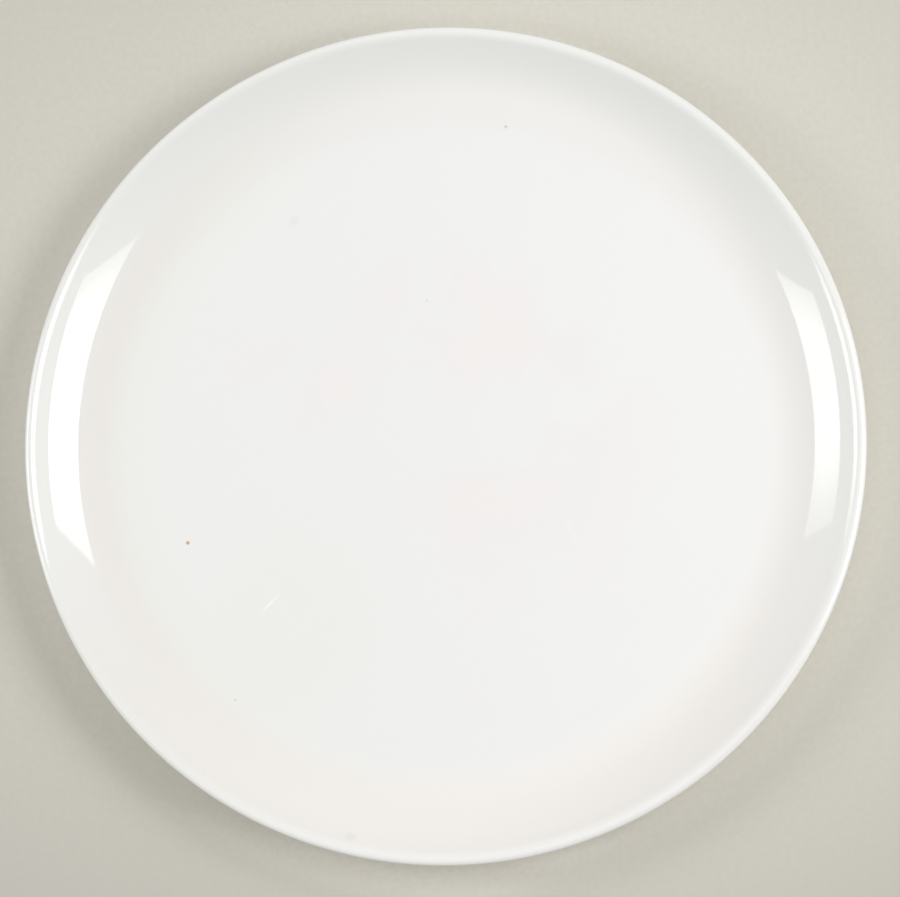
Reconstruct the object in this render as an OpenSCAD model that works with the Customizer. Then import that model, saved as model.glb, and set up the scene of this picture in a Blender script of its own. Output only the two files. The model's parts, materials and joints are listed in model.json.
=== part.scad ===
// Coupe dinner plate: a flat well that turns up to the rim in one sweep, with no ledge,
// on a low foot ring. A fired clay body carries two coats of glaze, parted at the bare foot.
// Millimetres, +Z up. The origin is on the axis, in the plane that the plate stands on.

/* [Plate] */
// Overall diameter, over the glaze
plate_d = 270; // [220:1:330]
// Overall height, from the table to the crest of the lip, over the glaze
plate_h = 20; // [17:0.5:26]

/* [Well and wall] */
// Width of the wall, from the edge of the flat well out to the rim
wall_w = 33; // [26:0.5:44]
// Thickness of the clay under the well
floor_t = 4.6; // [3.6:0.1:6]
// How far inside the edge of the well the underside begins to rise
heel_w = 4; // [2:0.5:6]

/* [Lip] */
// Radius of the clay where the wall rolls over towards the crest of the lip
roll_r = 6.4; // [4:0.2:9]
// Angle before the top of the lip at which the roll hands over to the crest
roll_angle = 18; // [12:1:28]
// Radius of the clay over the crest of the lip
crest_r = 1.9; // [1.4:0.1:3]
// Angle past the top of the lip at which the crest hands over to the outer slope
crest_angle = 13; // [6:1:20]
// Radius of the clay on the outer slope of the lip
slope_r = 3; // [2:0.1:5]
// Angle past the top of the lip at which the outer slope hands over to the edge
slope_angle = 27; // [21:1:45]
// Radius of the clay at the outer edge of the lip
edge_r = 0.7; // [0.5:0.1:1.2]

/* [Foot ring] */
// Width of the level shoulder between the foot ring and the heel of the wall
shoulder_w = 7; // [2:0.5:30]
// Height of the foot ring, from the table to the clay of the base
foot_h = 3.6; // [3:0.1:5]
// Width of the flat face that the plate stands on
foot_face_w = 2; // [1:0.1:4]
// Lean of the two sides of the foot ring from upright
foot_lean = 20; // [5:1:40]
// Radius of the rounding along both edges of the standing face
foot_edge_r = 0.6; // [0.3:0.1:1]
// Radius of the fillets between the foot ring and the base
foot_fillet_r = 2.2; // [1:0.1:3]

/* [Glaze] */
// Thickness of the glaze
glaze_t = 0.3; // [0.15:0.05:0.5]
// Height of the band at the bottom of the foot ring that is wiped clean of glaze
bare_h = 1; // [0.7:0.1:2]

/* [Hidden] */

// Steps in each arc of the outline, and facets around the axis
arc_steps = 16;
$fn = 180;

clay_colour = [0.93, 0.91, 0.87];
glaze_colour = [0.96, 0.96, 0.95];

// Well and base, as bare clay
well_r = plate_d / 2 - wall_w;
base_z = foot_h;
well_z = base_z + floor_t;
mid_floor_z = (base_z + well_z) / 2;

// Lip: the wall rolls over into a crest, and a flatter outer slope leads on to a tight edge.
// At each hand-over the two arcs share a normal.
crest_to_slope = (crest_r - slope_r) * outward(crest_angle);
slope_to_edge = (slope_r - edge_r) * outward(slope_angle);
crest_centre = [
    plate_d / 2 - glaze_t - edge_r - slope_to_edge.x - crest_to_slope.x,
    plate_h - glaze_t - crest_r
];
slope_centre = crest_centre + crest_to_slope;
edge_centre = slope_centre + slope_to_edge;
roll_centre = crest_centre - (roll_r - crest_r) * outward(-roll_angle);

// Wall, inner side: one arc that leaves the well level and runs smoothly into the roll of the lip
roll_reach = roll_centre - [well_r, well_z];
face_r = (roll_reach * roll_reach - roll_r * roll_r) / (2 * (roll_reach.y + roll_r));
face_centre = [well_r, well_z + face_r];
face_angle = steepness(face_centre, roll_centre);

// Wall, outer side: one arc that leaves the base level at the heel and runs into the outer edge
heel_r = well_r - heel_w;
edge_reach = edge_centre - [heel_r, base_z];
under_r = (edge_reach * edge_reach - edge_r * edge_r) / (2 * (edge_reach.y - edge_r));
under_centre = [heel_r, base_z + under_r];
under_angle = steepness(under_centre, edge_centre);

// Foot ring, measured from the middle of its standing face. The fillets leave a short straight
// stretch on its sides, however low the ring is.
foot_side_min = 0.3;
fillet_room = (foot_h - foot_side_min * cos(foot_lean)) / (1 - sin(foot_lean)) - foot_edge_r;
fillet_r = min(foot_fillet_r, fillet_room);
foot_edge_x = foot_face_w / 2;
foot_side_l = (foot_h - (foot_edge_r + fillet_r) * (1 - sin(foot_lean))) / cos(foot_lean);
fillet_x = foot_edge_x + foot_side_l * sin(foot_lean) + (foot_edge_r + fillet_r) * cos(foot_lean);
foot_r = heel_r - shoulder_w - fillet_x;

// Direction up and out of the lip, at an angle past its top
function outward(angle) = [sin(angle), cos(angle)];

// Slope of an arc about a centre overhead, in line with another point
function steepness(centre, p) = atan2(p.x - centre.x, centre.y - p.y);

// Points of an arc. Angles run from straight down, outwards and up.
// An arc that carries on from another starts at its second point.
function arc(centre, r, from, to, first = 0) = [
    for (i = [first : arc_steps])
        let (a = from + (to - from) * i / arc_steps)
        centre + r * [sin(a), -cos(a)]
];

// One side of the foot ring, from the standing face up to the base.
// Side is 1 for the outer one and -1 for the inner one.
function foot_side(side, skin) = [
    for (p = concat(
        arc([foot_edge_x, foot_edge_r], foot_edge_r + skin, 0, 90 - foot_lean),
        arc([fillet_x, base_z - fillet_r], fillet_r - skin, 270 - foot_lean, 180)
    ))
        [foot_r + side * p.x, p.y]
];

function reversed(points) = [for (i = [len(points) - 1 : -1 : 0]) points[i]];

// Half section of the plate, from the axis out along the underside and back over the face.
// Skin is the distance outside the clay.
function outline(skin) = concat(
    [[0, base_z - skin]],
    reversed(foot_side(-1, skin)),
    foot_side(1, skin),
    arc(under_centre, under_r + skin, 0, under_angle),
    arc(edge_centre, edge_r + skin, under_angle, 180 - slope_angle, first = 1),
    arc(slope_centre, slope_r + skin, 180 - slope_angle, 180 - crest_angle, first = 1),
    arc(crest_centre, crest_r + skin, 180 - crest_angle, 180 + roll_angle, first = 1),
    arc(roll_centre, roll_r + skin, 180 + roll_angle, 180 + face_angle, first = 1),
    arc(face_centre, face_r - skin, face_angle, 0, first = 1),
    [[0, well_z + skin]]
);

// Half section of the glaze all round the clay, before the foot is wiped
module coat_section() {
    difference() {
        polygon(outline(glaze_t));
        polygon(outline(0));
    }
}

// Half section of the space inside the foot ring, above the wiped band
module recess_section() {
    translate([0, bare_h])
        square([foot_r, mid_floor_z - bare_h]);
}

// Half section of the wiped band, which reaches under the foot
module wiped_section() {
    translate([0, -foot_h])
        square([plate_d, foot_h + bare_h]);
}

module plate_body() {
    color(clay_colour)
        rotate_extrude()
            polygon(outline(0));
}

module face_glaze() {
    color(glaze_colour)
        rotate_extrude()
            difference() {
                coat_section();
                recess_section();
                wiped_section();
            }
}

module base_glaze() {
    color(glaze_colour)
        rotate_extrude()
            intersection() {
                coat_section();
                recess_section();
            }
}

plate_body();
face_glaze();
base_glaze();
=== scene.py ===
# %% [markdown]
# A coupe dinner plate has a flat well that turns up to the rim in one sweep, with no ledge. It was
# pressed and turned as one clay body, and then glazed all over except for the foot ring. The packed
# model gives its size and its place, so this lesson starts by loading it as a fixed frame. Every
# length below is in metres, and +Z is up along the axis of the plate.

# %% Load the frame
import json
import math
from types import SimpleNamespace

import bmesh
import bpy
from mathutils import Matrix, Vector


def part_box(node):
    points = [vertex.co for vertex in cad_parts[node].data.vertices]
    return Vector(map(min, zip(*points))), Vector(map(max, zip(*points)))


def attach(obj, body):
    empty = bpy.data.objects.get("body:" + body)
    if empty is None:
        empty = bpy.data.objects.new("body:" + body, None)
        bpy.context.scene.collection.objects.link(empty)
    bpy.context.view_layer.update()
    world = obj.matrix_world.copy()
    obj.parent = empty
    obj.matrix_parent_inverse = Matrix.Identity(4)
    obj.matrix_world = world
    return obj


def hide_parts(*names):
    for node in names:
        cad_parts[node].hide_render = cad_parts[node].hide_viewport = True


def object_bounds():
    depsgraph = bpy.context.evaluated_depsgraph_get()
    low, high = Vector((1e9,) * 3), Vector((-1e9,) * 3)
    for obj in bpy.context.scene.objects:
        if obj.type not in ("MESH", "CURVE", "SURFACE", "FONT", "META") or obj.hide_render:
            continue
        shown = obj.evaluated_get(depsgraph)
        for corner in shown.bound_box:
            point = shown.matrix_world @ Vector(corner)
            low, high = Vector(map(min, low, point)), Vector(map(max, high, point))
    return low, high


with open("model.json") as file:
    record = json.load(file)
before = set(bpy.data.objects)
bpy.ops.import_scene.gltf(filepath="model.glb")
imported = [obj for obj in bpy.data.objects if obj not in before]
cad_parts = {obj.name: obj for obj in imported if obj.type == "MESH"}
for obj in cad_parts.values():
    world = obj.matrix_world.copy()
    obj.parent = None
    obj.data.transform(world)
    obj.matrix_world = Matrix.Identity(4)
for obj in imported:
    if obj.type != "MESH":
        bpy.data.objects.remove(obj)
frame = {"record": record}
cad_low, cad_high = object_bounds()
print("plate", [round(side, 5) for side in cad_high - cad_low], "m")

# %% [markdown]
# The photograph looks almost straight down into the plate. The rim is drawn as an ellipse that is a
# hundredth narrower one way, so the camera leans a few degrees off the axis: a little to the near
# side and to the right. A long lens far away gives that calm view, and the width of the rim in the
# image then sets its focal length.

# %% Direction of the view
image_w = 900
image_h = 897
rim_half_px = 422.0
camera_reach = 1.3
lean_right = math.radians(3.6)
lean_near = math.radians(6.5)

focal_px = rim_half_px * camera_reach / cad_high.x
view_back = Vector((math.tan(lean_right), -math.tan(lean_near), 1)).normalized()
view_right = Vector((0, 1, 0)).cross(view_back).normalized()
view_up = view_back.cross(view_right)
print("focal length", round(focal_px), "px")

# %% [markdown]
# The near half of the rim looks larger, so the middle of its outline lies nearer than the axis. The
# plate also sits a little off the middle of the image. A lens shift could do that, but it would stay
# on in every other view, so the camera simply stands a little to the other side.

# %% Camera
rim_middle_px = Vector((446.0, 446.6))
widest_drop = 0.0012

rim_widest = Vector((0, 0, cad_high.z - widest_drop))
nearer_px = Vector((view_back.x, -view_back.y)) * focal_px * (cad_high.x / camera_reach) ** 2
aside_px = Vector((image_w / 2, image_h / 2)) - (rim_middle_px - nearer_px)
aside = (view_right * aside_px.x - view_up * aside_px.y) * camera_reach / focal_px
camera_place = rim_widest + view_back * camera_reach + aside
camera_turn = Matrix((view_right, view_up, view_back)).transposed()

camera_data = bpy.data.cameras.new("camera")
camera_data.lens = camera_data.sensor_width * focal_px / image_w
camera = bpy.data.objects.new("camera", camera_data)
camera.matrix_world = Matrix.Translation(camera_place) @ camera_turn.to_4x4()
bpy.context.scene.collection.objects.link(camera)
bpy.context.scene.camera = camera
bpy.context.scene.view_settings.view_transform = "Standard"
print("camera at", [round(c, 3) for c in camera_place], "lens", round(camera_data.lens, 1), "mm")

# %% [markdown]
# The lamps, the room and every finish here are trees of nodes, so a few helpers keep the trees short
# to read. A socket takes a fixed value or the output of another node, and the helpers take either.
# The map range node is the most useful one: with a smooth step it fades a value from one range to
# another, and leaves no edge.

# %% Helpers for nodes
def feed(tree, socket, value):
    """Links the output of another node to a socket, or sets a fixed value on it."""
    if isinstance(value, bpy.types.NodeSocket):
        tree.links.new(value, socket)
    else:
        socket.default_value = value


def maths(tree, operation, first, second):
    """The output of a maths node that takes two values."""
    made = tree.nodes.new("ShaderNodeMath")
    made.operation = operation
    feed(tree, made.inputs[0], first)
    feed(tree, made.inputs[1], second)
    return made.outputs["Value"]


def vector_maths(tree, operation, *vectors):
    """A vector maths node that takes one to three vectors."""
    made = tree.nodes.new("ShaderNodeVectorMath")
    made.operation = operation
    for socket, vector in zip(made.inputs, vectors):
        feed(tree, socket, vector)
    return made


def ranged(tree, value, span, result):
    """Takes a value smoothly from one range to another, and no further."""
    made = tree.nodes.new("ShaderNodeMapRange")
    made.interpolation_type = "SMOOTHSTEP"
    made.inputs["From Min"].default_value = span[0]
    made.inputs["From Max"].default_value = span[1]
    made.inputs["To Min"].default_value = result[0]
    made.inputs["To Max"].default_value = result[1]
    feed(tree, made.inputs["Value"], value)
    return made.outputs["Result"]


print("helpers for nodes ready")

# %% [markdown]
# A softbox is a lamp behind a sheet of white cloth. The cloth is brightest a little to one side of
# its middle, where the bulb is, and dims towards its two ends. An area lamp is even all over, so its
# own nodes dim it by how far a point of the cloth is from the bulb, counted in halves of the width.
# The height counts for less.

# %% Cloth of the softboxes
bulb_side = 0.11
glow_start = 0.40
glow_end = 1.15
edge_glow = 0.3
width_share = 2
height_share = 0.7


def dim_edges(lamp):
    """Makes a lamp brightest at its bulb, a little to one side of its middle."""
    lamp.data.use_nodes = True
    tree = lamp.data.node_tree
    coordinates = tree.nodes.new("ShaderNodeTexCoord")
    coordinates.object = lamp
    on_cloth = coordinates.outputs["Object"]
    shares = (width_share / lamp.data.size, height_share / lamp.data.size_y, 0)
    from_bulb = vector_maths(tree, "MULTIPLY_ADD", on_cloth, shares, (-bulb_side, 0, 0))
    distance = vector_maths(tree, "LENGTH", from_bulb.outputs["Vector"]).outputs["Value"]
    cloth = ranged(tree, distance, (glow_start, glow_end), (1, edge_glow))
    tree.links.new(cloth, tree.nodes["Emission"].inputs["Strength"])


print("cloth dims to", edge_glow, "of its brightest")

# %% [markdown]
# A glossy plate shows its lights: each wall mirrors the softbox on the opposite side as one bright
# patch. The slope of the wall at the edges of a patch gives the direction of the edges of the light,
# so both boxes are placed by the angles that the patches ask for. A rectangle lamp is the plain way
# to make a softbox, because its mirror image has corners. The boxes lean over, so their lower edges
# are nearer and look longer.

# %% Softboxes
box_reach = 0.9


def direction(azimuth, rise):
    """A direction from the plate, in degrees: around the axis from +X, and up from the table."""
    around = math.radians(azimuth)
    up = math.radians(rise)
    return Vector((math.cos(up) * math.cos(around), math.cos(up) * math.sin(around), math.sin(up)))


def softbox(name, azimuth, rise, width, height, roll, tilt, power):
    """A rectangle lamp in a direction from the plate, rolled in its own plane and then leaned over."""
    away = direction(azimuth, rise)
    level = Vector((0, 0, 1)).cross(away).normalized()
    facing = Matrix((level, away.cross(level), away)).transposed().to_4x4()
    rolled = facing @ Matrix.Rotation(math.radians(roll), 4, "Z")
    tilted = Matrix.Rotation(math.radians(tilt), 4, "X")
    lamp_data = bpy.data.lights.new(name, "AREA")
    lamp_data.shape = "RECTANGLE"
    lamp_data.size = width
    lamp_data.size_y = height
    lamp_data.energy = power
    lamp = bpy.data.objects.new(name, lamp_data)
    lamp.matrix_world = Matrix.Translation(away * box_reach) @ rolled @ tilted
    lamp.visible_camera = False
    bpy.context.scene.collection.objects.link(lamp)
    dim_edges(lamp)
    return lamp


lamps = (
    softbox("right_softbox", azimuth=2.7, rise=51.1, width=0.520, height=0.405, roll=-4, tilt=10, power=3.55),
    softbox("left_softbox", azimuth=175.7, rise=42.3, width=0.418, height=0.398, roll=3, tilt=20, power=1.88),
)
print("lamps", [lamp.name for lamp in lamps])

# %% [markdown]
# The rest of the light is the room, and the whole plate mirrors it. It could be built of walls and lamps,
# but every edge of those would show in the glaze. A world that adds up smooth glows has no edges: each glow
# is strongest in one direction, and a high power of the cosine of the angle away from it draws it together.

# %% One glow of the room
world = bpy.data.worlds.new("room")
world.use_nodes = True
room = world.node_tree
room_way = room.nodes.new("ShaderNodeTexCoord").outputs["Generated"]


def glow(azimuth, rise, tightness, strength):
    """Light that is strongest in one direction, in degrees, and fades out smoothly to all sides."""
    facing = vector_maths(room, "DOT_PRODUCT", room_way, direction(azimuth, rise)).outputs["Value"]
    ahead = maths(room, "MAXIMUM", facing, 0)
    return maths(room, "MULTIPLY", maths(room, "POWER", ahead, tightness), strength)


print("made the world", world.name)

# %% [markdown]
# The flat well mirrors the ceiling straight above it and is a shade brighter than the wall around it,
# so three glows stand high in the room. The near wall mirrors the far end of the room and the left
# wall its right side, and both walls stay bright, so a glow stands half way up at each of these two
# places. Low down the room glows all round, most on the right and on the left.

# %% Glows of the room
overhead_rise = 68
middle_rise = 40
low_rise = 12
overhead_tightness = 16
side_tightness = 8
glows_around = 8
around_strength = 0.37

glows = [
    glow(azimuth=120, rise=overhead_rise, tightness=overhead_tightness, strength=0.90),
    glow(azimuth=240, rise=overhead_rise, tightness=overhead_tightness, strength=1.17),
    glow(azimuth=300, rise=overhead_rise, tightness=overhead_tightness, strength=0.18),
    glow(azimuth=90, rise=middle_rise, tightness=side_tightness, strength=0.64),
    glow(azimuth=0, rise=middle_rise, tightness=side_tightness, strength=0.68),
    glow(azimuth=0, rise=low_rise, tightness=side_tightness, strength=0.45),
    glow(azimuth=180, rise=low_rise, tightness=side_tightness, strength=0.71),
]
for i in range(glows_around):
    glows.append(glow(360 * i / glows_around, low_rise, side_tightness, around_strength))
light = glows[0]
for another in glows[1:]:
    light = maths(room, "ADD", light, another)
room_light = room.nodes["Background"]
room_light.inputs["Color"].default_value = (1, 1, 1, 1)
room.links.new(light, room_light.inputs["Strength"])
bpy.context.scene.world = world
print("room of", len(glows), "glows")

# %% [markdown]
# The section is what makes the form. From the axis it runs level over the well, up the wall in one large
# arc, over the lip in four small ones, and back under the wall to the foot ring. Every arc leaves the last
# one along the same tangent, so a mirrored light slides over the joins without a kink. The clay and the
# glaze share these arcs: the glaze lies one coat further out, which the functions below call the skin.

# %% Sizes of the section
wall_w = 0.033
heel_w = 0.004

glaze_t = round(cad_high.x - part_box("plate_body")[1].x, 5)
bare_h = round(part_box("base_glaze")[0].z, 5)
base_z = round(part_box("base_glaze")[1].z, 5)
mounts = {mount["name"]: Vector(mount["pos_m"]) for mount in frame["record"]["mounts"]}
well_z = mounts["well_face"].z - glaze_t
well_r = cad_high.x - wall_w
heel_r = well_r - heel_w
foot_r = mounts["foot_face"].x
print("glaze", glaze_t, "well", round(well_z, 5), "base", base_z, "foot", round(foot_r, 5))

# %% [markdown]
# The lip was smoothed by hand with a wet sponge, so it is not the same all round: the bright lines on
# it lie further apart on the near right. So the crest and the outer edge of the lip each have a
# fullness, which is 1 for the lip as it was drawn and swings about a mean value once around the axis.
# A cosine does that with no seam.

# %% Fullness of the lip
crest_mean = 0.70
crest_swing = 0.33
full_crest_way = math.radians(-33)
edge_mean = 0.92
edge_swing = 0.09


def crest_fullness(around):
    """How full the crest of the lip is at an angle around the axis."""
    return crest_mean + crest_swing * math.cos(around - full_crest_way)


def edge_fullness(around):
    """How full the outer edge of the lip is at an angle around the axis. It is fullest on the right."""
    return edge_mean + edge_swing * math.cos(around)


print("crest fullness", round(crest_mean - crest_swing, 2), "to", round(crest_mean + crest_swing, 2))

# %% [markdown]
# The lip takes four arcs: the wall rolls over, a crest goes over the top, a flatter slope leads
# outwards and a tight edge turns down. Two arcs that share a normal where they meet also share a
# tangent, so each centre lies on the normal of the last one. The crest and the edge are set from the
# height and the width of the plate, which stay the same for any fullness.

# %% Arcs of the lip
roll_r = 0.0064
roll_angle = 18
crest_angle = 13
slope_angle = 27
glazed_crest_r = 0.0022
glazed_slope_r = 0.0033
glazed_edge_r = 0.0010


def turned(angle):
    """A direction in the section. Angles are in degrees from straight down, outwards and up."""
    return Vector((math.sin(math.radians(angle)), -math.cos(math.radians(angle))))


def lip_arcs(crest_share, edge_share):
    """Centres and radii of the four arcs of the lip, for the clay."""
    lip = SimpleNamespace()
    lip.crest_r = glazed_crest_r * crest_share - glaze_t
    lip.slope_r = glazed_slope_r * edge_share - glaze_t
    lip.edge_r = glazed_edge_r * edge_share - glaze_t
    crest_to_slope = (lip.crest_r - lip.slope_r) * turned(180 - crest_angle)
    slope_to_edge = (lip.slope_r - lip.edge_r) * turned(180 - slope_angle)
    crest_x = cad_high.x - glaze_t - lip.edge_r - slope_to_edge.x - crest_to_slope.x
    lip.crest = Vector((crest_x, cad_high.z - glaze_t - lip.crest_r))
    lip.slope = lip.crest + crest_to_slope
    lip.edge = lip.slope + slope_to_edge
    lip.roll = lip.crest - (roll_r - lip.crest_r) * turned(180 + roll_angle)
    return lip


print("lip is drawn about", [round(c, 5) for c in lip_arcs(1, 1).crest])

# %% [markdown]
# The wall is one arc on each side. The inner one leaves the well level and runs into the roll of the
# lip, and the outer one leaves the base level at the heel and runs into the edge. A circle that
# starts level at one point and touches another circle from one side has only one possible radius, so
# the lip alone settles both arcs.

# %% Arcs of the wall
def steepness(centre, point):
    """Slope in degrees of an arc about a centre overhead, in line with another point."""
    return math.degrees(math.atan2(point.x - centre.x, centre.y - point.y))


def wall_arcs(lip):
    """Centres, radii and end angles of the inner and the outer arc of the wall, for the clay."""
    wall = SimpleNamespace()
    reach = lip.roll - Vector((well_r, well_z))
    wall.face_r = (reach.length_squared - roll_r**2) / (2 * (reach.y + roll_r))
    wall.face = Vector((well_r, well_z + wall.face_r))
    wall.face_angle = steepness(wall.face, lip.roll)
    reach = lip.edge - Vector((heel_r, base_z))
    wall.under_r = (reach.length_squared - lip.edge_r**2) / (2 * (reach.y - lip.edge_r))
    wall.under = Vector((heel_r, base_z + wall.under_r))
    wall.under_angle = steepness(wall.under, lip.edge)
    return wall


drawn_wall = wall_arcs(lip_arcs(1, 1))
print("inner wall rises to", round(drawn_wall.face_angle, 1), "degrees")

# %% [markdown]
# A section is a list of points, made of straight runs and arcs. A curve object could be turned too,
# but plain points let every piece share the same ones. The tight arcs of the lip get many points for
# their size, because the lights are mirrored there as thin lines, which would show the corners.

# %% Runs of the section
well_steps = 14
wall_steps = 40
roll_steps = 14
crest_steps = 12
slope_steps = 8
edge_steps = 20
under_steps = 30


def arc(centre, radius, start, end, steps):
    """Points of an arc."""
    return [centre + radius * turned(start + (end - start) * i / steps) for i in range(steps + 1)]


def run(start, end, steps):
    """Points of a straight run."""
    return [Vector(start).lerp(Vector(end), i / steps) for i in range(steps + 1)]


def face_side(skin, around):
    """From the axis over the well, the wall and the lip, and under the wall to the heel."""
    top = well_z + skin
    lip = lip_arcs(crest_fullness(around), edge_fullness(around))
    wall = wall_arcs(lip)
    return (
        run((0, top), (well_r, top), well_steps)[:-1]
        + arc(wall.face, wall.face_r - skin, 0, wall.face_angle, wall_steps)
        + arc(lip.roll, roll_r + skin, 180 + wall.face_angle, 180 + roll_angle, roll_steps)[1:]
        + arc(lip.crest, lip.crest_r + skin, 180 + roll_angle, 180 - crest_angle, crest_steps)[1:]
        + arc(lip.slope, lip.slope_r + skin, 180 - crest_angle, 180 - slope_angle, slope_steps)[1:]
        + arc(lip.edge, lip.edge_r + skin, 180 - slope_angle, wall.under_angle, edge_steps)[1:]
        + arc(wall.under, wall.under_r + skin, wall.under_angle, 0, under_steps)[1:]
    )


print("face side has", len(face_side(glaze_t, 0)), "points")

# %% [markdown]
# The foot ring lifts the plate off the table. It has a narrow flat face to stand on, rounded edges,
# sides that lean and a fillet into the base. Both sides are alike, so one side is worked out from the
# middle of the ring.

# %% Sizes of the foot ring
foot_face_w = 0.002
foot_lean = 20
foot_edge_r = 0.0006
fillet_r = 0.0022

lean_sin = math.sin(math.radians(foot_lean))
lean_cos = math.cos(math.radians(foot_lean))
edge_rise = foot_edge_r * (1 - lean_sin)
side_l = (base_z - (foot_edge_r + fillet_r) * (1 - lean_sin)) / lean_cos
side_foot = Vector((foot_face_w / 2 + foot_edge_r * lean_cos, edge_rise))
side_way = Vector((lean_sin, lean_cos))
side_out = Vector((lean_cos, -lean_sin))
fillet_centre = side_foot + side_way * side_l + side_out * fillet_r
wiped_l = (bare_h - edge_rise) / lean_cos
print("foot ring side is", round(side_l * 1000, 2), "mm long, wiped for", round(wiped_l * 1000, 2), "mm")

# %% [markdown]
# The glaze is wiped off the lower part of the foot ring before the firing. There it ends in a thin
# round bead, because molten glass draws back from the bare clay. A bevel would be too sharp for that.
# A quarter of an ellipse for the thickness of the last stretch gives the bead.

# %% Sides of the foot ring
bead_l = 0.0006
fillet_steps = 12
bead_steps = 16
foot_edge_steps = 8


def fillet(skin):
    """From the side of the foot ring up into the level base, measured from the middle of the ring."""
    return arc(fillet_centre, fillet_r - skin, 270 - foot_lean, 180, fillet_steps)


def bead(skin):
    """The end of a coat on the side of the foot ring, from the wiped line to the fillet."""
    points = []
    for step in run((wiped_l, 0), (side_l, 0), bead_steps):
        share = min(1, (step.x - wiped_l) / bead_l)
        thickness = skin * math.sqrt(1 - (1 - share) ** 2)
        points.append(side_foot + side_way * step.x + side_out * thickness)
    return points


def foot_side():
    """One side of the bare foot ring, from its standing face up into the base."""
    edge_middle = Vector((foot_face_w / 2, foot_edge_r))
    return arc(edge_middle, foot_edge_r, 0, 90 - foot_lean, foot_edge_steps) + fillet(0)


def outside(points):
    """The outer side of the foot ring."""
    return [Vector((foot_r + p.x, p.y)) for p in points]


def inside(points):
    """The inner side of the foot ring."""
    return [Vector((foot_r - p.x, p.y)) for p in points]


print("foot ring side has", len(foot_side()), "points, bead", len(bead(glaze_t)))

# %% [markdown]
# A fired plate is never quite true: the rim is a hair out of round and dips a little on two sides. A
# modifier could bend the finished meshes, but a formula on each point keeps the three pieces together
# exactly. The warp only draws in or down, so the plate stays inside its frame, and it starts outside
# the well, so that the foot ring stands flat.

# %% Warp of the firing
out_of_round = 0.0001
rim_dip = 0.0002
oval_way = math.radians(16)
dip_way = math.radians(-40)


def warped(point, around):
    """A point of the section at an angle around the axis, with the warp of the firing."""
    grow = max(0, (point.x - well_r) / (cad_high.x - well_r)) ** 2
    r = point.x - out_of_round * grow * (1 + math.cos(2 * (around - oval_way))) / 2
    z = point.y - rim_dip * grow * (1 + math.cos(2 * (around - dip_way))) / 2
    return (r * math.cos(around), r * math.sin(around), z)


print("rim is drawn in by up to", out_of_round * 1000, "mm and dips by up to", rim_dip * 1000, "mm")

# %% [markdown]
# A lathe turns a section about the axis, as the potter's wheel did. Blender has a modifier for that,
# but here the section changes around the axis. A few lines of mesh code give the exact rings, and
# close the surface in one point at each end.

# %% Lathe
turns = 288
sharp_angle = math.radians(40)


def lathe(name, section):
    """A closed smooth piece. The section is for an angle around the axis, and starts and ends on the axis."""
    shape = bmesh.new()
    columns = []
    for i in range(turns):
        around = math.tau * i / turns
        points = section(around)
        columns.append([shape.verts.new(warped(point, around)) for point in points[1:-1]])
    first = shape.verts.new((0, 0, points[0].y))
    last = shape.verts.new((0, 0, points[-1].y))
    for here, there in zip(columns, columns[1:] + columns[:1]):
        shape.faces.new((first, here[0], there[0]))
        shape.faces.new((last, there[-1], here[-1]))
        for i in range(len(here) - 1):
            shape.faces.new((here[i], here[i + 1], there[i + 1], there[i]))
    bmesh.ops.recalc_face_normals(shape, faces=shape.faces)
    mesh = bpy.data.meshes.new(name)
    shape.to_mesh(mesh)
    shape.free()
    mesh.shade_smooth()
    mesh.set_sharp_from_angle(angle=sharp_angle)
    piece = bpy.data.objects.new(name, mesh)
    bpy.context.scene.collection.objects.link(piece)
    print(name, len(mesh.vertices), "points,", len(mesh.polygons), "faces")
    return piece


print("lathe takes", turns, "steps around the axis")

# %% [markdown]
# The clay body is the whole plate without its glaze. Only the bare foot ring shows, but the body is
# modelled whole, as it is on the real plate. The two coats of glaze are closed shells on it: one runs
# over the face, round the lip and down to the foot ring, and the other lines the recess inside the ring.

# %% Three pieces
base_steps = 10


def back(points):
    """The same points, from the last to the first."""
    return points[::-1]


def base_run(skin):
    """From the axis along the base to the fillet inside the foot ring."""
    return run((0, base_z - skin), inside(fillet(skin))[-1], base_steps)[:-1]


def clay_section(around):
    """The whole clay body, from the base to the well."""
    ring = back(inside(foot_side())) + outside(foot_side())
    return base_run(0) + ring + back(face_side(0, around))


def face_section(around):
    """The coat over the face, round the lip and down to the wiped line, and back along the clay."""
    coat = face_side(glaze_t, around) + back(outside(fillet(glaze_t))) + back(outside(bead(glaze_t)))[1:]
    clay = outside(bead(0))[1:] + outside(fillet(0))[1:] + back(face_side(0, around))
    return coat + clay


def base_section(around):
    """The coat inside the foot ring, which no lip reaches, and back along the clay."""
    coat = base_run(glaze_t) + back(inside(fillet(glaze_t))) + back(inside(bead(glaze_t)))[1:]
    clay = inside(bead(0))[1:] + inside(fillet(0))[1:] + back(base_run(0))
    return coat + clay


clay_body = lathe("clay_body", clay_section)
face_coat = lathe("face_coat", face_section)
base_coat = lathe("base_coat", base_section)

# %% [markdown]
# Each piece stands for one solid of the frame, which is hidden from then on. Nothing on a plate moves, so
# all three ride on the one body that it has. The two coats share a finish, because they are the same glaze.

# %% Places in the frame
for piece, node, finish in (
    (clay_body, "plate_body", "bare_clay"),
    (face_coat, "face_glaze", "white_glaze"),
    (base_coat, "base_glaze", "white_glaze"),
):
    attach(piece, "root")
    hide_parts(node)
    print(piece.name, "stands for", node)

# %% [markdown]
# A finish changes from place to place: by how far a point is from the axis, from a spot or along a
# direction. An unwrapped map could carry that, but a plate has no natural seam to cut it at. The
# coordinates of the object are the same as those of the frame, so the tints are placed in metres.

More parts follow.
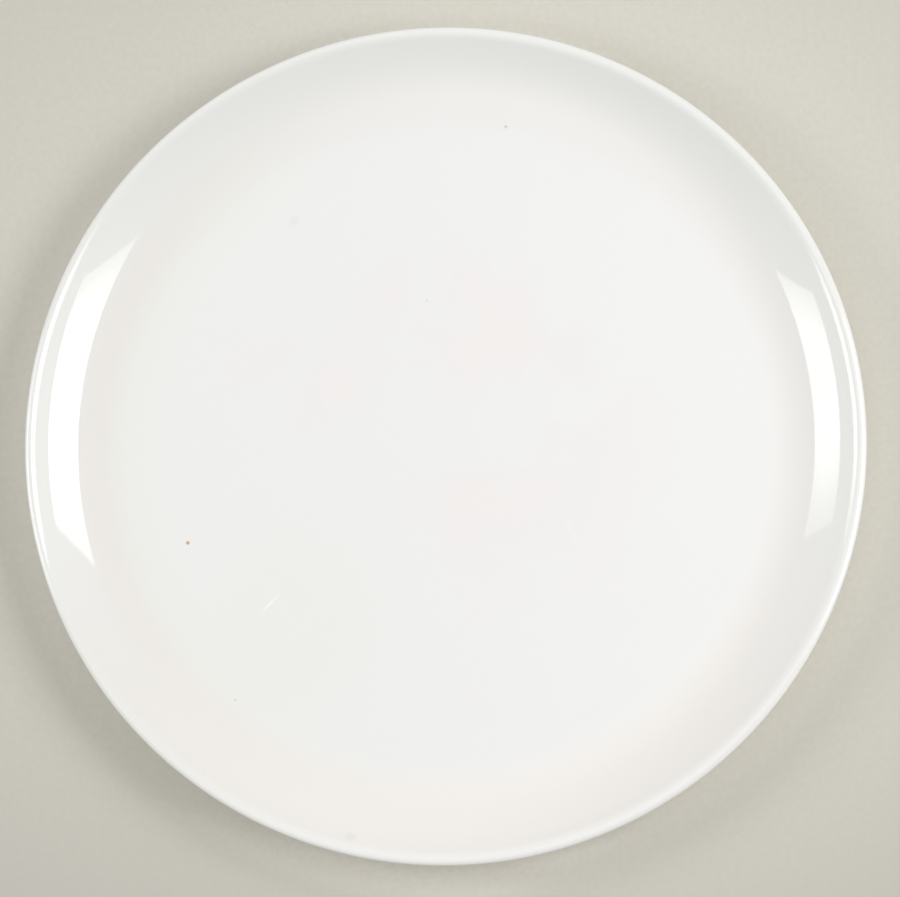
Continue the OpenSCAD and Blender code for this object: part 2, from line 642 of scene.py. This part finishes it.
# %% Materials and places
def new_material(name):
    """A node material, with its tree and its main shader."""
    material = bpy.data.materials.new(name)
    material.use_nodes = True
    return material, material.node_tree, material.node_tree.nodes["Principled BSDF"]


def place_on(tree):
    """The place of a point on the plate, in metres."""
    return tree.nodes.new("ShaderNodeTexCoord").outputs["Object"]


def length_of(tree, place, scale=(1, 1, 1)):
    """The length of a place, after each of its parts is scaled."""
    scaled = vector_maths(tree, "MULTIPLY", place, scale)
    return vector_maths(tree, "LENGTH", scaled.outputs["Vector"]).outputs["Value"]


def from_axis(tree, place):
    """How far a point is from the axis of the plate."""
    return length_of(tree, place, (1, 1, 0))


def from_point(tree, place, point):
    """How far a point is from another one, seen from above."""
    return from_axis(tree, vector_maths(tree, "SUBTRACT", place, point).outputs["Vector"])


def along(tree, place, way):
    """How far a point lies along a direction."""
    return vector_maths(tree, "DOT_PRODUCT", place, way).outputs["Value"]


print("helpers for materials and places ready")

# %% [markdown]
# On top of these come the parts that every finish is mixed from: a soft noise at a size in metres, a
# product of two shares, a blend of two colours and a bump of a real depth. The mix node has sockets
# for several kinds of data under the same names, so those for colours are picked by number.

# %% Helpers for finishes
mix_first = 6
mix_second = 7
mix_result = 2


def noise_node(tree, place, size, detail=2):
    """A noise node whose patches are about this size."""
    made = tree.nodes.new("ShaderNodeTexNoise")
    made.inputs["Scale"].default_value = 1 / size
    made.inputs["Detail"].default_value = detail
    tree.links.new(place, made.inputs["Vector"])
    return made


def soft_noise(tree, place, size, detail=2):
    """A soft noise between 0 and 1."""
    return noise_node(tree, place, size, detail).outputs["Fac"]


def times(tree, first, second):
    """One value times another."""
    return maths(tree, "MULTIPLY", first, second)


def blended(tree, share, first, second):
    """A colour between two others. The first may be the output of another node."""
    made = tree.nodes.new("ShaderNodeMix")
    made.data_type = "RGBA"
    tree.links.new(share, made.inputs["Factor"])
    feed(tree, made.inputs[mix_first], (*first, 1) if isinstance(first, tuple) else first)
    made.inputs[mix_second].default_value = (*second, 1)
    return made.outputs[mix_result]


def raised(tree, height, depth, under=None):
    """A bump of this depth, on top of another one."""
    made = tree.nodes.new("ShaderNodeBump")
    made.inputs["Strength"].default_value = 1
    made.inputs["Distance"].default_value = depth
    tree.links.new(height, made.inputs["Height"])
    if under is not None:
        tree.links.new(under, made.inputs["Normal"])
    return made.outputs["Normal"]


print("helpers for finishes ready")

# %% [markdown]
# The glaze is a smooth white glass over clay. A dipped coat is never quite even, so one flat white would
# look like plastic. It could be mottled all over by noise, but the eye reads broad tints first: the white
# is painted a shade lighter towards the right, as painted light that stands in for brighter light on that
# side, and the other tints below are blended over it one after the other.

# %% White of the well
glaze, tree, shader = new_material("white_glaze")
place = place_on(tree)
radius = from_axis(tree, place)
left = along(tree, place, (-1, 0, 0))
far = along(tree, place, (0, 1, 0))
well_white = (0.886, 0.885, 0.868)
painted_light_white = (0.906, 0.904, 0.888)
painted_light_fade = (-0.1, 0.06)

# painted light: the white is lighter towards the right
white = blended(tree, ranged(tree, left, painted_light_fade, (1, 0)), well_white, painted_light_white)
print("well is", well_white, "and", painted_light_white, "on the right")

# %% [markdown]
# The white drifts: it is cream in a spot at the near left and in a stretch along the left edge of the
# well, and pink in patches in the middle. The cream areas are plain soft spots. The pink patches come
# from a noise, which is held to the middle.

# %% Cream and pink
cream_white = (0.878, 0.887, 0.842)
cream_most = 0.9
cream_spot = (-0.050, -0.057, 0)
cream_spot_fade = (0.012, 0.036)
cream_ring_start = (0.090, 0.101)
cream_left_start = (0.03, 0.08)
pink_white = (0.905, 0.874, 0.862)
pink_spot = (0, 0.012, 0)
pink_fade = (0.03, 0.08)
pink_shares = (0.9, 0.1)
drift_size = 0.04
drift_range = (0.48, 0.62)

cream = ranged(tree, from_point(tree, place, cream_spot), cream_spot_fade, (cream_most, 0))
white = blended(tree, cream, white, cream_white)
cream_ring = ranged(tree, radius, cream_ring_start, (0, 1))
cream_left = ranged(tree, left, cream_left_start, (0, cream_most))
white = blended(tree, times(tree, cream_ring, cream_left), white, cream_white)
drift = ranged(tree, soft_noise(tree, place, drift_size, detail=4), drift_range, (0, 1))
pink_area = ranged(tree, from_point(tree, place, pink_spot), pink_fade, pink_shares)
white = blended(tree, times(tree, drift, pink_area), white, pink_white)
print("well drifts to", cream_white, "and", pink_white)

# %% [markdown]
# The wall is a little warmer than the well, most at the near left. Further out the wall is neutral again,
# except on the near side. Both tints are set by how far a point is from the axis, and then by the side
# that it is on.

# %% Tints of the wall
wall_white = (0.892, 0.864, 0.824)
warm_wall_start = (well_r + 0.001, well_r + 0.010)
warm_wall_end = (cad_high.x - 0.006, cad_high.x - 0.001)
lip_share = 0.2
warm_way = (-0.6, -0.8, 0)
warm_fade = (-0.12, 0.05)
warm_shares = (0.5, 0.9)
edge_white = (0.886, 0.886, 0.856)
outer_start = (well_r + 0.014, well_r + 0.021)
near_end = (-0.09, -0.02)
outer_most = 0.9

warm_wall = times(tree, ranged(tree, radius, warm_wall_start, (0, 1)), ranged(tree, radius, warm_wall_end, (1, lip_share)))
warm_side = ranged(tree, along(tree, place, warm_way), warm_fade, warm_shares)
white = blended(tree, times(tree, warm_wall, warm_side), white, wall_white)
outer = ranged(tree, radius, outer_start, (0, 1))
white = blended(tree, times(tree, outer, ranged(tree, far, near_end, (0, outer_most))), white, edge_white)
print("wall drifts to", wall_white, "and", edge_white)

# %% [markdown]
# A used plate has marks, and each sits at its own point of the face. The points come from the
# photograph: a ray goes from the camera through a pixel to the face. The height of the face is known
# only once the point is, so the ray is cut at a guessed height, and the guess is mended a few times.

# %% Points of the face
face_tries = 8


def face_height(r):
    """Height of the glazed face at a distance from the axis, on the well or the wall."""
    climb = max(0, r - well_r)
    bend = drawn_wall.face_r - glaze_t
    return well_z + glaze_t + bend - math.sqrt(bend**2 - climb**2)


def face_point(pixel):
    """The point of the face that the camera sees at a pixel."""
    ray = camera_turn @ Vector((pixel.x - image_w / 2, image_h / 2 - pixel.y, -focal_px))
    height = face_height(0)
    for attempt in range(face_tries):
        point = camera_place + ray * ((height - camera_place.z) / ray.z)
        height = face_height(point.xy.length)
    return point


print("middle of the image is at", [round(c, 4) for c in face_point(Vector((image_w / 2, image_h / 2)))])

# %% [markdown]
# Marks could be painted on an image, but an image is tied to its pixels. Here each mark is a small ellipse
# about its point: the coordinates are moved to it, turned along it and divided by its size, and inside a
# length of 1 lies the mark. A fine noise shifts the coordinates first, so that no mark has a true outline.

# %% One mark
mark_depth = 0.002
mark_fade = (0.2, 1)
waver = Vector((0.0005, 0.0005, 0.0005))
waver_size = 0.0015

waver_noise = noise_node(tree, place, waver_size).outputs["Color"]
wavy_place = vector_maths(tree, "MULTIPLY_ADD", waver_noise, waver, place).outputs["Vector"]


def mark(under, start_px, end_px, width, strength, colour):
    """A mark between two pixels over the colour so far, with its strength in the middle and soft edges."""
    start = face_point(start_px)
    run_of_mark = face_point(end_px) - start
    spot = tree.nodes.new("ShaderNodeMapping")
    spot.vector_type = "TEXTURE"
    spot.inputs["Location"].default_value = start + run_of_mark / 2 + waver / 2
    spot.inputs["Rotation"].default_value = (0, 0, math.atan2(run_of_mark.y, run_of_mark.x))
    spot.inputs["Scale"].default_value = ((run_of_mark.length + width) / 2, width / 2, mark_depth)
    tree.links.new(wavy_place, spot.inputs["Vector"])
    share = ranged(tree, length_of(tree, spot.outputs["Vector"]), mark_fade, (strength, 0))
    return blended(tree, share, under, colour)


print("edges of marks waver by up to", round(waver.x / 2 * 1000, 2), "mm")

# %% [markdown]
# These are the marks of this plate: two specks that were fired into the glaze, two smaller dots, two
# dull smudges, a scratch from cutlery with a painted glint, lighter than the glaze, and two rubbed
# streaks. They are faint, but a plate without any looks unreal.

# %% Marks on the face
grey_speck_px = Vector((505.8, 126.8))
brown_speck_px = Vector((187.7, 542.9))
small_dot_px = Vector((235.4, 700.2))
faint_dot_px = Vector((427.0, 300.5))
far_smudge_px = Vector((293.5, 221.5))
near_smudge_px = Vector((350.5, 836.5))
scratch_and_glint_px = (Vector((258.5, 615.0)), Vector((282.5, 591.0)))
long_rub_px = (Vector((563.0, 514.0)), Vector((581.0, 549.0)))
short_rub_px = (Vector((604.0, 583.0)), Vector((616.0, 590.0)))


def speck(under, pixel, width, strength, colour):
    """A round mark over the colour so far."""
    return mark(under, pixel, pixel, width, strength, colour)


white = speck(white, grey_speck_px, width=0.0014, strength=0.9, colour=(0.58, 0.59, 0.55))
white = speck(white, brown_speck_px, width=0.0018, strength=1, colour=(0.58, 0.33, 0.14))
white = speck(white, small_dot_px, width=0.0013, strength=0.5, colour=(0.55, 0.52, 0.50))
white = speck(white, faint_dot_px, width=0.0013, strength=0.4, colour=(0.60, 0.62, 0.50))
white = speck(white, far_smudge_px, width=0.0052, strength=0.45, colour=(0.82, 0.81, 0.76))
white = speck(white, near_smudge_px, width=0.0056, strength=0.45, colour=(0.79, 0.765, 0.73))
# scratch from cutlery, painted lighter than the glaze as a painted glint
white = mark(white, *scratch_and_glint_px, width=0.0011, strength=0.9, colour=(0.97, 0.97, 0.94))
white = mark(white, *long_rub_px, width=0.0028, strength=0.6, colour=(0.93, 0.90, 0.88))
white = mark(white, *short_rub_px, width=0.0024, strength=0.6, colour=(0.93, 0.91, 0.90))
tree.links.new(white, shader.inputs["Base Color"])
print("brown speck at", [round(c, 4) for c in face_point(brown_speck_px)])

# %% [markdown]
# The gloss is what tells glass from plastic. The surface ripples by a few thousandths of a
# millimetre, so that the edges of a mirrored lamp waver, and it has a finer peel, like the skin of an
# orange. The roughness changes a little too. Porcelain glaze is heavy with minerals, so it mirrors
# more than window glass: that is its index of refraction.

# %% Gloss of the glaze
ripple_size = 0.025
ripple_depth = 0.00001
peel_size = 0.0025
peel_depth = 0.0000003
gloss_size = 0.02
gloss_range = (0.3, 0.7)
gloss_roughness = (0.03, 0.05)
glaze_index = 1.66

ripple = raised(tree, soft_noise(tree, place, ripple_size), ripple_depth)
peel = raised(tree, soft_noise(tree, place, peel_size), peel_depth, under=ripple)
tree.links.new(peel, shader.inputs["Normal"])
roughness = ranged(tree, soft_noise(tree, place, gloss_size), gloss_range, gloss_roughness)
tree.links.new(roughness, shader.inputs["Roughness"])
shader.inputs["IOR"].default_value = glaze_index
for coat in (face_coat, base_coat):
    coat.data.materials.append(glaze)
print(glaze.name, len(tree.nodes), "nodes")

# %% [markdown]
# The bare foot ring is fired clay: matt, a little warmer than the glaze, with faint stains. The face
# that it stands on has slid over many shelves, so it is the greyest part and a little polished. The
# height above the table tells where that wear is, and a noise breaks it up.

# %% Colour of the bare clay
clay, tree, shader = new_material("bare_clay")
place = place_on(tree)
clay_white = (0.80, 0.77, 0.70)
clay_stain = (0.70, 0.66, 0.58)
stain_size = 0.006
stain_range = (0.45, 0.75)
wear_grey = (0.60, 0.575, 0.53)
wear_h = 0.0004
scuff_size = 0.003
scuff_range = (0.3, 0.75)
clay_roughness = 0.85
worn_roughness = 0.6

stain = ranged(tree, soft_noise(tree, place, stain_size, detail=6), stain_range, (0, 1))
stained_clay = blended(tree, stain, clay_white, clay_stain)
worn = ranged(tree, along(tree, place, (0, 0, 1)), (0, wear_h), (1, 0))
scuff = ranged(tree, soft_noise(tree, place, scuff_size, detail=5), scuff_range, (0, 1))
scuffed = times(tree, worn, scuff)
tree.links.new(blended(tree, scuffed, stained_clay, wear_grey), shader.inputs["Base Color"])
roughness = ranged(tree, scuffed, (0, 1), (clay_roughness, worn_roughness))
tree.links.new(roughness, shader.inputs["Roughness"])
print("clay is", clay_white, "and wears to", wear_grey)

# %% [markdown]
# The potter's tool left fine rings on the foot, and the fired clay has a sandy grain. Both are far
# too small to model, so they are bumps: a wave texture in rings about the axis, and a fine noise on
# top of it. Blender's wave has a fixed number of radians to a unit of length, and its scale follows
# from the gap between two rings.

# %% Turning marks on the clay
ring_gap = 0.0005
ring_depth = 0.00002
ring_waver = 0.5
wave_radians = 20
grain_size = 0.0004
grain_depth = 0.00003

turning = tree.nodes.new("ShaderNodeTexWave")
turning.wave_type = "RINGS"
turning.rings_direction = "Z"
turning.inputs["Scale"].default_value = math.tau / (wave_radians * ring_gap)
turning.inputs["Distortion"].default_value = ring_waver
turning.inputs["Detail"].default_value = 2
tree.links.new(place, turning.inputs["Vector"])
rings = raised(tree, turning.outputs["Fac"], ring_depth)
grain = raised(tree, soft_noise(tree, place, grain_size, detail=4), grain_depth, under=rings)
tree.links.new(grain, shader.inputs["Normal"])
clay_body.data.materials.append(clay)
print(clay.name, len(tree.nodes), "nodes")

# %% [markdown]
# The plate lies on a plain sheet of warm grey paper, which takes the soft shadows beside the rim. Painted
# shade darkens the sheet away from the plate and towards the near side, and a little less so along the
# left, where the light falls off. One share between a light and a dark grey holds all three, so they add
# up smoothly.

# %% Grey of the paper, with painted shade
paper, tree, shader = new_material("grey_paper")
place = place_on(tree)
radius = from_axis(tree, place)
paper_light = (0.725, 0.700, 0.625)
shade_and_fibre_grey = (0.52, 0.502, 0.448)
lighter_way = (0.48, 0.88, 0)
away_fade = (0.13, 0.23)
near_fade = (-0.22, 0.25)
dark_share = 0.5
left_fade = (0.08, 0.16)
left_share = -0.16

lighter = along(tree, place, lighter_way)
# painted shade: the paper darkens away from the plate, towards the near side and less on the left
away = ranged(tree, radius, away_fade, (0, dark_share))
near_side = ranged(tree, lighter, near_fade, (dark_share, 0))
left_side = ranged(tree, along(tree, place, (-1, 0, 0)), left_fade, (0, left_share))
painted_shade_share = maths(tree, "ADD", maths(tree, "ADD", away, near_side), left_side)
shade = blended(tree, painted_shade_share, paper_light, shade_and_fibre_grey)
print("paper is", paper_light, "to", shade_and_fibre_grey)

# %% [markdown]
# Beside the rim the sheet is painted paler: this is painted light, which lifts the shadow under the rim.
# A soft ring lies all round the plate, strongest on the near left, a strip runs along the near side, and a
# narrow one on the near and the far side lies right beside the rim. Each is a share that fades out with
# the distance from the axis, times a share for the side.

# %% Painted light beside the rim
painted_light_paper = (0.90, 0.874, 0.785)
ring_fade = (0.135, 0.150)
ring_side = (0.02, 0.12)
ring_shares = (0.36, 0.09)
near_way = (-0.21, -0.98, 0)
near_start = (0.128, 0.140)
near_ring_fade = (0.140, 0.150)
near_share = 0.38
strip_start = (0.123, 0.134)
strip_fade = (0.135, 0.142)
strip_share = 0.80

# painted light: these shares lighten the paper where the shadow of the rim falls
painted_light_side = ranged(tree, lighter, ring_side, ring_shares)
painted_light_ring = times(tree, ranged(tree, radius, ring_fade, (1, 0)), painted_light_side)
shade = blended(tree, painted_light_ring, shade, painted_light_paper)
near_light = ranged(tree, along(tree, place, near_way), near_start, (0, near_share))
near_light = times(tree, ranged(tree, radius, near_ring_fade, (1, 0)), near_light)
shade = blended(tree, near_light, shade, painted_light_paper)
near_or_far = length_of(tree, place, (0, 1, 0))
strip_side = ranged(tree, near_or_far, strip_start, (0, strip_share))
painted_light_strip = times(tree, ranged(tree, radius, strip_fade, (1, 0)), strip_side)
shade = blended(tree, painted_light_strip, shade, painted_light_paper)
print("paper is", painted_light_paper, "at its palest")

# %% [markdown]
# Paper is made of fibres, which show as a faint mottle. The sheet itself is one large square, far wider
# than the view, so that its edges are out of sight in all but very low views. It lies a hair below the
# plate, because two faces in one plane would flicker. It is only the stage, and not a piece of the plate.

# %% Floor
fibre_size = 0.002
fibre_range = (0.3, 0.7)
fibre_most = 0.15
paper_roughness = 0.9
floor_half = 3.0
floor_drop = 0.00002

fibre = ranged(tree, soft_noise(tree, place, fibre_size, detail=5), fibre_range, (0, fibre_most))
tree.links.new(blended(tree, fibre, shade, shade_and_fibre_grey), shader.inputs["Base Color"])
shader.inputs["Roughness"].default_value = paper_roughness
floor_mesh = bpy.data.meshes.new("floor")
corners = [(x * floor_half, y * floor_half, 0) for x, y in ((-1, -1), (1, -1), (1, 1), (-1, 1))]
floor_mesh.from_pydata(corners, [], [range(4)])
floor_mesh.materials.append(paper)
floor = bpy.data.objects.new("floor", floor_mesh)
floor.location.z = -floor_drop
bpy.context.scene.collection.objects.link(floor)
print("floor is", 2 * floor_half, "m wide")
